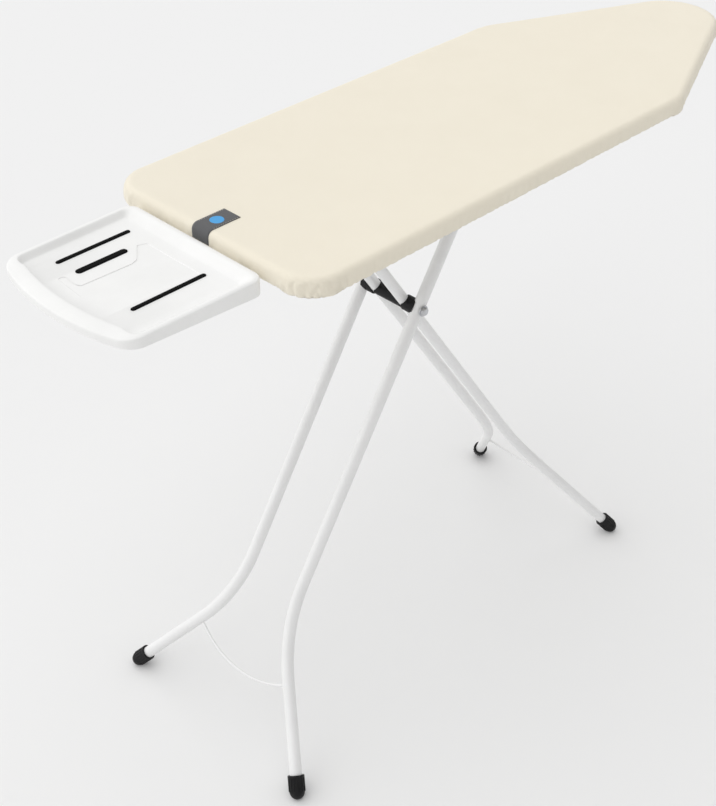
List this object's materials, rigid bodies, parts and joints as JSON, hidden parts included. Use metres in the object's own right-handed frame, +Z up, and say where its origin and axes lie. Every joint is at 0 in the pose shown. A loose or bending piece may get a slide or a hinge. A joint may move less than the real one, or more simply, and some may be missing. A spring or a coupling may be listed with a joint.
{
  "type": "ironing board",
  "caption": "Ironing board on two pairs of crossed tubular legs that fold flat, with a padded cloth cover, a moulded iron rest at the heel and a latch lever under the deck.",
  "frame": {"origin": "on the floor, under the middle of the whole object's length and width, with the board set up for use", "axes": "+X along the board towards its nose, +Y towards the left edge seen from the heel, +Z up"},
  "size_m": [1.508, 0.4754, 1.025],
  "materials": {
    "cover_fabric": "plain cotton weave",
    "pad_foam": "open-cell foam",
    "label_fabric": "woven ribbon",
    "powder_white": "satin powder coat",
    "zinc": "zinc plated",
    "moulded_white": "fine-grained moulding",
    "black_plastic": "matte",
    "strip_rubber": "matte"
  },
  "bodies": {
    "board": {"cover": "cover_fabric", "foam_pad": "pad_foam", "deck_mesh": "powder_white", "rim_heel": "powder_white", "rim_left": "powder_white", "rim_right": "powder_white", "rim_nose": "powder_white", "tail_rail": "powder_white", "hinge_rail": "powder_white", "latch_rail": "powder_white", "nose_rail": "powder_white", "guide_rail_left": "zinc", "guide_rail_right": "zinc", "hinge_bracket": "zinc", "hinge_pin": "zinc", "lever_bracket": "zinc", "label_tab": "label_fabric", "iron_rest": "moulded_white", "rest_strip_left": "strip_rubber", "rest_strip_broad": "strip_rubber", "rest_strip_right": "strip_rubber", "rest_arm_left": "zinc", "rest_arm_right": "zinc", "rest_arm_clamps": "zinc", "rest_screws": "zinc"},
    "lever": {"lever_shaft": "zinc", "latch_hook": "zinc", "lever_paddle": "black_plastic", "lever_spring": "zinc"},
    "inner_legs": {"inner_leg_left": "powder_white", "inner_leg_right": "powder_white", "hinge_tube": "powder_white", "inner_wire": "powder_white", "inner_foot_left": "black_plastic", "inner_foot_right": "black_plastic", "inner_saddle_left": "black_plastic", "inner_saddle_right": "black_plastic", "pivot_hub": "black_plastic", "pivot_bolt": "zinc", "pivot_nut": "black_plastic", "pivot_washers": "zinc"},
    "outer_legs": {"outer_leg_left": "powder_white", "outer_leg_right": "powder_white", "top_bar": "powder_white", "glide_left": "black_plastic", "glide_right": "black_plastic", "outer_wire": "powder_white", "outer_foot_left": "black_plastic", "outer_foot_right": "black_plastic", "outer_saddle_left": "black_plastic", "outer_saddle_right": "black_plastic"}
  },
  "joints": [
    {"name": "fold", "type": "hinge", "parent": "board", "child": "inner_legs", "pos_m": [-0.235, 0, 0.981], "axis": [0, -1, 0], "range_deg": [0, 55.5]},
    {"name": "scissor", "type": "hinge", "parent": "inner_legs", "child": "outer_legs", "pos_m": [-0.09124, 0, 0.74005], "axis": [0, 1, 0], "range_deg": [0, 113.6]},
    {"name": "latch_lever", "type": "hinge", "parent": "board", "child": "lever", "pos_m": [-0.00754, 0, 0.993], "axis": [0, 1, 0], "range_deg": [0, 14]}
  ],
  "couplings": [
    {"joint": "scissor", "follows": "fold", "ratio": 2.045}
  ]
}
